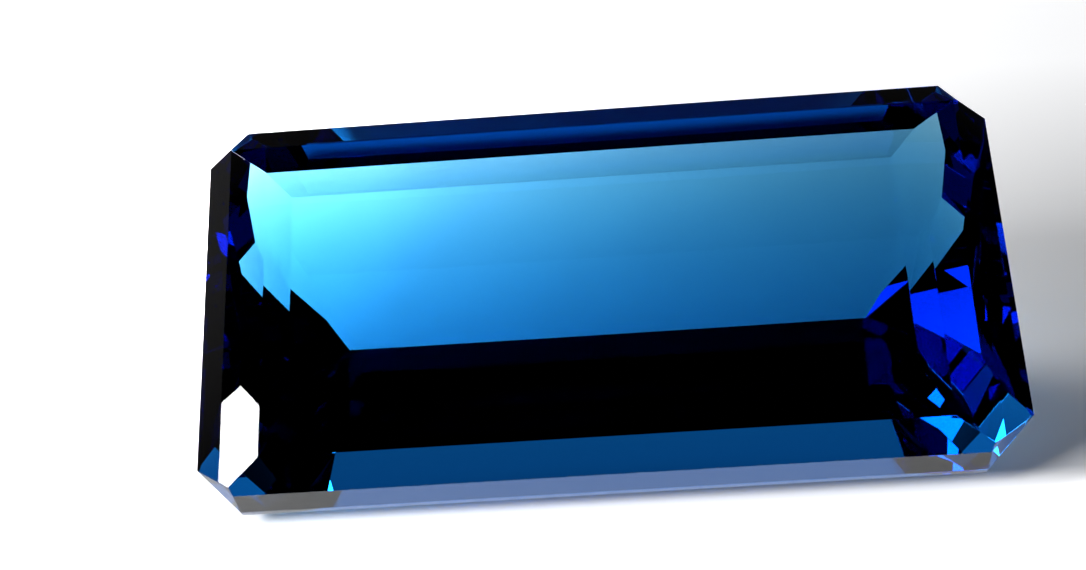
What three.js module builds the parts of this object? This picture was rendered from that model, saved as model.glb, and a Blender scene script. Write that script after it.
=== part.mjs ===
// A topaz in an octagonal step cut (an emerald cut), one solid stone lying on a long pavilion facet.
// Lengths are millimetres and angles are degrees. In the stone's own frame X runs along the keel,
// Z is the table's normal and Z = 0 is the upper edge of the girdle. Facet angles are measured from
// the girdle's plane, so 90 is upright and 0 is flat.
import * as THREE from "three";

// Outline
const LENGTH = 40;
const WIDTH = 20.5;
const CORNER_CUTS = { backLeft: 1.95, backRight: 2.1, frontRight: 2.5, frontLeft: 2.2 };

const GIRDLE_HEIGHT = 0.5;

// Crown: three rows of facets step up to the table. The heights are where each row ends, above the
// girdle's upper edge, and the widths are how far each row reaches in from the one below it, cut
// slightly uneven by hand. A corner's rows reach in by a share of the mean of the rows beside them.
const CROWN_HEIGHTS = [0.7, 1.6, 2];
const CROWN_WIDTHS = {
  back: [1.3, 1.95, 1.7],
  front: [0.6, 1.6, 2.4],
  left: [1.25, 2.1, 1.45],
  right: [1.6, 2.35, 1.4],
};
const CORNER_SHARE = 0.3;

// Pavilion: rows of facets on every side, from the girdle down. The depths are where one row gives
// way to the next, below the girdle's lower edge. The last row of the two long sides meets in the
// keel, and the last row of the corners runs on to the keel's ends.
const LONG_SIDE_ROWS = { angles: [65, 45.5, 40.5], depths: [2.2, 7.9] };
const END_ROWS = { angles: [75, 68, 48.5], depths: [1.6, 6.6] };
const CORNER_ROWS = { angles: [69.5, 56.5, 47.5, 41], depths: [0.9, 3.9, 6.1] };

// The stone lies on the second row of its front side, the one that its weight is above.
const RESTING_ANGLE = LONG_SIDE_ROWS.angles[1];

const WELD_DISTANCE = 1e-3;
const BLANK_SIZE = 4 * LENGTH;

const radians = THREE.MathUtils.degToRad;

// The eight sides of the outline: the direction each faces, its distance from the axis, the widths
// of its crown rows and its pavilion rows.
const right = longOrShortSide(0, LENGTH / 2, CROWN_WIDTHS.right, END_ROWS);
const back = longOrShortSide(90, WIDTH / 2, CROWN_WIDTHS.back, LONG_SIDE_ROWS);
const left = longOrShortSide(180, LENGTH / 2, CROWN_WIDTHS.left, END_ROWS);
const front = longOrShortSide(270, WIDTH / 2, CROWN_WIDTHS.front, LONG_SIDE_ROWS);
const SIDES = [
  right,
  back,
  left,
  front,
  cornerSide(45, CORNER_CUTS.backRight, back, right),
  cornerSide(135, CORNER_CUTS.backLeft, back, left),
  cornerSide(225, CORNER_CUTS.frontLeft, front, left),
  cornerSide(315, CORNER_CUTS.frontRight, front, right),
];

function longOrShortSide(azimuth, reach, crownWidths, rows) {
  return { azimuth, reach, crownWidths, rows };
}

// A cut corner's facets stand square to the diagonal between the two sides it joins.
function cornerSide(azimuth, cut, one, other) {
  const reach = (LENGTH / 2 + WIDTH / 2 - cut) * Math.SQRT1_2;
  const crownWidths = one.crownWidths.map((width, row) => {
    return (CORNER_SHARE * (width + other.crownWidths[row])) / 2;
  });
  return { azimuth, reach, crownWidths, rows: CORNER_ROWS };
}

// The plane of a facet that faces `azimuth`, leans back by `lean` from facing straight out
// (positive looks up, negative looks down) and passes `radius` from the axis at `height`.
function facetPlane(azimuth, lean, radius, height) {
  const outward = new THREE.Vector3(Math.cos(radians(azimuth)), Math.sin(radians(azimuth)), 0);
  const normal = outward.clone().multiplyScalar(Math.cos(radians(lean)));
  normal.z = Math.sin(radians(lean));
  const point = outward.multiplyScalar(radius).setZ(height);
  return new THREE.Plane().setFromNormalAndCoplanarPoint(normal, point);
}

// One plane for each crown row, each starting from the upper edge of the row below it.
function crownPlanes({ azimuth, reach, crownWidths }) {
  let radius = reach;
  let height = 0;
  return CROWN_HEIGHTS.map((top, row) => {
    const width = crownWidths[row];
    const lean = THREE.MathUtils.radToDeg(Math.atan2(width, top - height));
    const plane = facetPlane(azimuth, lean, radius, height);
    radius -= width;
    height = top;
    return plane;
  });
}

// One plane for each pavilion row, each starting from the lower edge of the row above it.
function pavilionPlanes({ azimuth, reach, rows }) {
  let radius = reach;
  let depth = 0;
  return rows.angles.map((angle, row) => {
    const plane = facetPlane(azimuth, angle - 90, radius, -GIRDLE_HEIGHT - depth);
    const nextDepth = rows.depths[row] ?? depth;
    radius -= (nextDepth - depth) / Math.tan(radians(angle));
    depth = nextDepth;
    return plane;
  });
}

function stonePlanes() {
  const table = new THREE.Plane(new THREE.Vector3(0, 0, 1), -CROWN_HEIGHTS.at(-1));
  const girdle = SIDES.map(({ azimuth, reach }) => facetPlane(azimuth, 0, reach, 0));
  return [table, ...SIDES.flatMap(crownPlanes), ...girdle, ...SIDES.flatMap(pavilionPlanes)];
}

// A square far larger than the stone, lying in the plane and wound to face outward.
function blankPolygon(plane) {
  const centre = plane.coplanarPoint(new THREE.Vector3());
  const turn = new THREE.Quaternion().setFromUnitVectors(new THREE.Vector3(0, 0, 1), plane.normal);
  const half = BLANK_SIZE / 2;
  const square = [[-half, -half], [half, -half], [half, half], [-half, half]];
  return square.map(([x, y]) => new THREE.Vector3(x, y, 0).applyQuaternion(turn).add(centre));
}

// The part of a polygon that lies behind a plane.
function cutPolygon(polygon, plane) {
  return polygon.flatMap((point, i) => {
    const next = polygon[(i + 1) % polygon.length];
    const here = plane.distanceToPoint(point);
    const there = plane.distanceToPoint(next);
    const kept = here <= 0 ? [point] : [];
    if (here * there < 0) kept.push(point.clone().lerp(next, here / (here - there)));
    return kept;
  });
}

// Every facet is its plane cut by all the others, and neighbours share their corner points.
function stoneGeometry(planes) {
  const corners = [];
  const cornerIndex = (point) => {
    const found = corners.findIndex((corner) => corner.distanceTo(point) < WELD_DISTANCE);
    return found < 0 ? corners.push(point) - 1 : found;
  };
  const triangles = planes.flatMap((plane) => {
    const others = planes.filter((other) => other !== plane);
    const polygon = others.reduce(cutPolygon, blankPolygon(plane));
    const loop = polygon.map(cornerIndex).filter((index, i, all) => index !== all.at(i - 1));
    return loop.slice(2).flatMap((last, i) => [loop[0], loop[i + 1], last]);
  });
  const welded = new THREE.BufferGeometry().setFromPoints(corners).setIndex(triangles);
  const faceted = welded.toNonIndexed();
  faceted.computeVertexNormals();
  return faceted;
}

const topaz = new THREE.MeshStandardMaterial({
  color: "#2b86c8",
  roughness: 0.03,
  metalness: 0,
  transparent: true,
  opacity: 0.5,
});

const stone = new THREE.Mesh(stoneGeometry(stonePlanes()), topaz);
stone.name = "topaz_gemstone";

// Turned about the keel's direction, the facet that the stone lies on faces straight down and the
// table leans towards -Y. The origin is under the middle of the stone, on the surface it lies on.
const topazPart = new THREE.Group();
const lying = new THREE.Group();
lying.rotation.x = radians(RESTING_ANGLE);
lying.add(stone);
topazPart.add(lying);

const box = new THREE.Box3().setFromObject(topazPart, true);
const middle = box.getCenter(new THREE.Vector3());
lying.position.set(-middle.x, -middle.y, -box.min.z);

export default topazPart;
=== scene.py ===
"""A blue topaz in an octagonal step cut, dressed around its solid and shown on a pale floor.

The stone keeps the facets of its solid. This script merges them, eases their edges and gives the
stone its clear blue substance, then sets up a studio with a floor, soft lights and a camera. The
floor glows with painted light, bright in front of the stone, with painted shade under it and a
painted falloff to the right.
Lengths are metres, angles are degrees, and the frame is the stone's own: X along the keel, -Y to
the side the table leans to, Z up, with the origin on the floor under the middle of the stone.
"""

import logging
import math
from dataclasses import dataclass

import bpy
import numpy as np
from mathutils import Matrix, Vector

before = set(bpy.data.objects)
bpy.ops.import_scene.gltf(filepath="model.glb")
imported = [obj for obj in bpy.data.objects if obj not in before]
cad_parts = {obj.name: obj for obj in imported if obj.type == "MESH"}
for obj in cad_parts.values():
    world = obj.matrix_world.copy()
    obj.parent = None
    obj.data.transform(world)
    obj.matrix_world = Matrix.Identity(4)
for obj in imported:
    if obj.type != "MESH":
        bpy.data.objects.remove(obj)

log = logging.getLogger("topaz")

MM = 0.001
STONE_NODE = "topaz_gemstone"
LIGHT_BOUNCES = 24

Colour = tuple[float, float, float, float]


def set_ramp(ramp: bpy.types.ColorRamp, stops: list[tuple[float, Colour]]) -> None:
    """Gives a new colour ramp its stops.

    Args:
        ramp: The ramp, still with the two stops that it starts with.
        stops: Each stop's position and colour, in rising order.
    """
    for position, colour in stops[1:-1]:
        ramp.elements.new(position).color = colour
    ends = (ramp.elements[0], ramp.elements[-1])
    for element, (position, colour) in zip(ends, (stops[0], stops[-1])):
        element.position = position
        element.color = colour


@dataclass(frozen=True)
class TopazFinish:
    """Polished clear topaz that takes its blue from the depth of stone that light passes.

    The absorption is red, green and blue. The density only has to be above the largest of them.
    """

    ior: float = 1.62
    polish: float = 0.0
    absorption_per_metre: tuple[float, float, float] = (360.0, 140.0, 62.0)
    density: float = 370.0

    def material(self) -> bpy.types.Material:
        """Makes the stone's material.

        The absorption colour is one minus each channel's share of the density, so that colour and
        density together take away absorption_per_metre.

        Returns:
            The material, with a refracting surface and an absorbing volume.
        """
        made = bpy.data.materials.new("polished blue topaz")
        made.use_nodes = True
        tree = made.node_tree
        surface = tree.nodes["Principled BSDF"]
        surface.inputs["Base Color"].default_value = (1.0, 1.0, 1.0, 1.0)
        surface.inputs["Roughness"].default_value = self.polish
        surface.inputs["IOR"].default_value = self.ior
        surface.inputs["Transmission Weight"].default_value = 1.0
        volume = tree.nodes.new("ShaderNodeVolumeAbsorption")
        kept = [1.0 - share / self.density for share in self.absorption_per_metre]
        volume.inputs["Color"].default_value = (*kept, 1.0)
        volume.inputs["Density"].default_value = self.density
        output = tree.nodes["Material Output"]
        tree.links.new(volume.outputs["Volume"], output.inputs["Volume"])
        return made


@dataclass(frozen=True)
class PaintedLightFloor:
    """Matt pale board that glows though it is no lamp, which paints light and shade on it.

    The painted glow is given in steps from the front of the floor to its back, as (y, brightness):
    bright in front of the stone, none under it and just behind it as painted shade, and bright
    again further back. From the first to the second x of the side span it falls to the right-hand
    share of its strength, so that the right side is painted darker.
    """

    colour: tuple[float, float, float] = (0.86, 0.865, 0.875)
    roughness: float = 0.7
    gloss: float = 0.1
    # Painted light and shade: a bright glow in front, none under the stone, brighter again behind.
    painted_glow_steps: tuple[tuple[float, float], ...] = (
        (-0.020, 1.6), (-0.009, 1.6), (-0.006, 0.0), (0.025, 0.0), (0.070, 0.8), (0.120, 1.1))
    # Painted falloff of light: the glow is weaker towards the right.
    painted_glow_sides: tuple[float, float] = (-0.02, 0.10)
    painted_glow_right: float = 0.65

    def material(self) -> bpy.types.Material:
        """Makes the floor's material, with its painted glow and shade.

        Returns:
            The material.
        """
        made = bpy.data.materials.new("pale floor with painted light and shade")
        made.use_nodes = True
        tree = made.node_tree
        surface = tree.nodes["Principled BSDF"]
        surface.inputs["Base Color"].default_value = (*self.colour, 1.0)
        surface.inputs["Roughness"].default_value = self.roughness
        surface.inputs["Specular IOR Level"].default_value = self.gloss
        surface.inputs["Emission Color"].default_value = (*self.colour, 1.0)
        # Painted light: the floor's emission stands in for lighting, and its gaps for shade under
        # the stone.
        tree.links.new(self.glow(tree), surface.inputs["Emission Strength"])
        return made

    def glow(self, tree: bpy.types.NodeTree) -> bpy.types.NodeSocket:
        """Adds the nodes of the painted glow: a ramp from front to back,
        times one from left to right.

        Args:
            tree: The floor's node tree.

        Returns:
            The socket that gives the painted glow's strength.
        """
        front, back = self.painted_glow_steps[0][0], self.painted_glow_steps[-1][0]
        most = max(bright for _, bright in self.painted_glow_steps)
        place = tree.nodes.new("ShaderNodeTexCoord")
        parts = tree.nodes.new("ShaderNodeSeparateXYZ")
        along = tree.nodes.new("ShaderNodeMapRange")
        steps = tree.nodes.new("ShaderNodeValToRGB")
        across = tree.nodes.new("ShaderNodeMapRange")
        both = tree.nodes.new("ShaderNodeMath")
        both.operation = "MULTIPLY"
        along.inputs["From Min"].default_value = front
        along.inputs["From Max"].default_value = back
        across.inputs["From Min"].default_value = self.painted_glow_sides[0]
        across.inputs["From Max"].default_value = self.painted_glow_sides[1]
        across.inputs["To Min"].default_value = most
        across.inputs["To Max"].default_value = most * self.painted_glow_right
        set_ramp(steps.color_ramp, [
            ((y - front) / (back - front), (*[bright / most] * 3, 1.0))
            for y, bright in self.painted_glow_steps])
        tree.links.new(place.outputs["Object"], parts.inputs["Vector"])
        tree.links.new(parts.outputs["Y"], along.inputs["Value"])
        tree.links.new(along.outputs["Result"], steps.inputs["Fac"])
        tree.links.new(parts.outputs["X"], across.inputs["Value"])
        tree.links.new(steps.outputs["Color"], both.inputs[0])
        tree.links.new(across.outputs["Result"], both.inputs[1])
        return both.outputs["Value"]


@dataclass
class Gemstone:
    """The one solid stone: its triangles merged into whole facets, with edges just not sharp.

    Corners closer than weld are one. Neighbouring triangles turned less than flat_within degrees
    from each other are one facet, and all other edges are eased.
    """

    edge: float = 0.02 * MM
    edge_segments: int = 2
    weld: float = 0.002 * MM
    flat_within: float = 0.5

    def dress(self, finish: TopazFinish) -> bpy.types.Object:
        """Gives the stone its eased edges and its material.

        Args:
            finish: The stone's substance and polish.

        Returns:
            The stone's object.
        """
        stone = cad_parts[STONE_NODE]
        stone.data.materials.clear()
        stone.data.materials.append(finish.material())
        merged = stone.modifiers.new("merged corners", "WELD")
        merged.merge_threshold = self.weld
        facets = stone.modifiers.new("whole facets", "DECIMATE")
        facets.decimate_type = "DISSOLVE"
        facets.angle_limit = math.radians(self.flat_within)
        eased = stone.modifiers.new("eased edges", "BEVEL")
        eased.width = self.edge
        eased.segments = self.edge_segments
        eased.limit_method = "ANGLE"
        eased.angle_limit = math.radians(self.flat_within)
        return stone


AIM_POINT = Vector((0.0, 0.0, 0.007))


@dataclass(frozen=True)
class SoftLight:
    """A rectangular soft box that faces the stone, or another point if it has an aim.

    The bearing is measured round the stone from the +Y side towards -X, and the elevation above
    the floor. Brightness is what the box's face gives off, where 1 is just white.
    """

    name: str
    bearing: float
    elevation: float
    distance: float
    size: tuple[float, float]
    brightness: float
    aim: tuple[float, float, float] = tuple(AIM_POINT)

    def centre(self) -> Vector:
        """Returns the middle of the box's face."""
        level = math.cos(math.radians(self.elevation))
        bearing = math.radians(self.bearing)
        way = Vector((-math.sin(bearing) * level, math.cos(bearing) * level,
                      math.sin(math.radians(self.elevation))))
        return AIM_POINT + way * self.distance

    def power(self) -> float:
        """Returns the power in watts: pi times brightness times area."""
        return math.pi * self.brightness * self.size[0] * self.size[1]


# Name, bearing, elevation, distance, size, brightness and, for the panel, what it faces.
LIGHTS = (
    SoftLight("near left panel", 50.0, 17.0, 0.052, (0.03, 0.03), 29.0, (-0.038, 0.032, 0.0)),
    SoftLight("left strip", 100.5, 23.0, 0.15, (0.014, 0.038), 20.0),
    SoftLight("front left box", 130.0, 26.0, 0.12, (0.040, 0.045), 26.0),
    SoftLight("high box", 78.0, 48.0, 0.16, (0.06, 0.025), 12.0),
)


@dataclass
class Studio:
    """A pale floor, soft lights and a dark room with one pale wall, behind the stone.

    The wall's height and brightness are given in steps of elevation. It comes in from the first to
    the second share of the way to the back.
    """

    floor_half: float = 1.5
    floor_gap: float = 0.01 * MM
    wall_side: tuple[float, float] = (0.0, 0.5)
    wall_rise: tuple[tuple[float, float], ...] = (
        (0.0, 1.0), (23.0, 1.0), (32.0, 0.6), (43.0, 0.6), (47.0, 0.05), (51.0, 0.0))
    blue_tint: float = 1.02

    def floor(self, finish: PaintedLightFloor) -> bpy.types.Object:
        """Lays the floor: one square, a hair below the facet that the stone lies on.

        Args:
            finish: The floor's look, with its painted glow and shade.

        Returns:
            The floor's object.
        """
        corners = np.array([[-1, -1, 0], [1, -1, 0], [1, 1, 0], [-1, 1, 0]]) * self.floor_half
        corners[:, 2] = -self.floor_gap
        mesh = bpy.data.meshes.new("floor")
        mesh.from_pydata(corners.tolist(), [], [(0, 1, 2, 3)])
        laid = bpy.data.objects.new("floor", mesh)
        mesh.materials.append(finish.material())
        bpy.context.scene.collection.objects.link(laid)
        return laid

    def room(self) -> bpy.types.World:
        """Makes the room: dark, with a pale wall behind the stone that fades as it rises.

        The wall's brightness is a ramp over the sine of the elevation, times a ramp from the sides
        of the room to its back.

        Returns:
            The world.
        """
        world = bpy.data.worlds.new("room")
        bpy.context.scene.world = world
        world.use_nodes = True
        tree = world.node_tree
        way = tree.nodes.new("ShaderNodeTexCoord")
        parts = tree.nodes.new("ShaderNodeSeparateXYZ")
        rise = tree.nodes.new("ShaderNodeValToRGB")
        back = tree.nodes.new("ShaderNodeMapRange")
        both = tree.nodes.new("ShaderNodeVectorMath")
        both.operation = "SCALE"
        tree.links.new(way.outputs["Generated"], parts.inputs["Vector"])
        tree.links.new(parts.outputs["Z"], rise.inputs["Fac"])
        tree.links.new(parts.outputs["Y"], back.inputs["Value"])
        tree.links.new(rise.outputs["Color"], both.inputs[0])
        tree.links.new(back.outputs["Result"], both.inputs["Scale"])
        tree.links.new(both.outputs["Vector"], tree.nodes["Background"].inputs["Color"])
        back.inputs["From Min"].default_value = self.wall_side[0]
        back.inputs["From Max"].default_value = self.wall_side[1]
        set_ramp(rise.color_ramp, [
            (math.sin(math.radians(height)), self.wall_colour(bright))
            for height, bright in self.wall_rise])
        return world

    def wall_colour(self, bright: float) -> Colour:
        """Returns the wall's colour where it is this bright."""
        return (bright, bright, bright * self.blue_tint, 1.0)

    def soft_light(self, light: SoftLight) -> bpy.types.Object:
        """Hangs one soft light, facing its aim.

        Args:
            light: The light's place, size and brightness.

        Returns:
            The light's object.
        """
        lamp = bpy.data.lights.new(light.name, "AREA")
        lamp.shape = "RECTANGLE"
        lamp.size, lamp.size_y = light.size
        lamp.energy = light.power()
        hung = bpy.data.objects.new(light.name, lamp)
        centre = light.centre()
        facing = Vector(light.aim) - centre
        turn = facing.to_track_quat("-Z", "Y").to_matrix().to_4x4()
        hung.matrix_world = Matrix.Translation(centre) @ turn
        bpy.context.scene.collection.objects.link(hung)
        return hung


@dataclass
class ViewCamera:
    """The main view, from in front and above."""

    place: tuple[float, float, float] = (1.12 * MM, -76.09 * MM, 38.45 * MM)
    target: tuple[float, float, float] = (-2.92 * MM, 0.15 * MM, 8.68 * MM)
    roll: float = -4.80
    lens: float = 54.23
    sensor: float = 36.0

    def set_up(self) -> bpy.types.Object:
        """Makes the camera and makes it the scene's own.

        Returns:
            The camera's object.
        """
        data = bpy.data.cameras.new("main view")
        data.lens = self.lens
        data.sensor_width = self.sensor
        data.clip_start = 1 * MM
        camera = bpy.data.objects.new("main view", data)
        place = Vector(self.place)
        turn = (Vector(self.target) - place).to_track_quat("-Z", "Y").to_matrix().to_4x4()
        rolled = turn @ Matrix.Rotation(math.radians(self.roll), 4, "Z")
        camera.matrix_world = Matrix.Translation(place) @ rolled
        bpy.context.scene.collection.objects.link(camera)
        bpy.context.scene.camera = camera
        return camera


def main() -> None:
    """Builds the stone, the studio and the camera, and reports each."""
    logging.basicConfig(level=logging.INFO, format="%(message)s")
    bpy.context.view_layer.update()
    stone = Gemstone().dress(TopazFinish())
    log.info("stone: %d triangles, %d modifiers", len(stone.data.polygons), len(stone.modifiers))
    studio = Studio()
    log.info("floor: %s", studio.floor(PaintedLightFloor()).name)
    log.info("room: %s", studio.room().name)
    for light in LIGHTS:
        log.info("light: %s", studio.soft_light(light).name)
    log.info("camera: %s", ViewCamera().set_up().name)
    scene = bpy.context.scene
    scene.view_settings.view_transform = "Standard"
    scene.cycles.max_bounces = LIGHT_BOUNCES
    scene.cycles.transmission_bounces = LIGHT_BOUNCES
    scene.cycles.glossy_bounces = LIGHT_BOUNCES
    log.info("size file written")


if __name__ == "__main__":
    main()
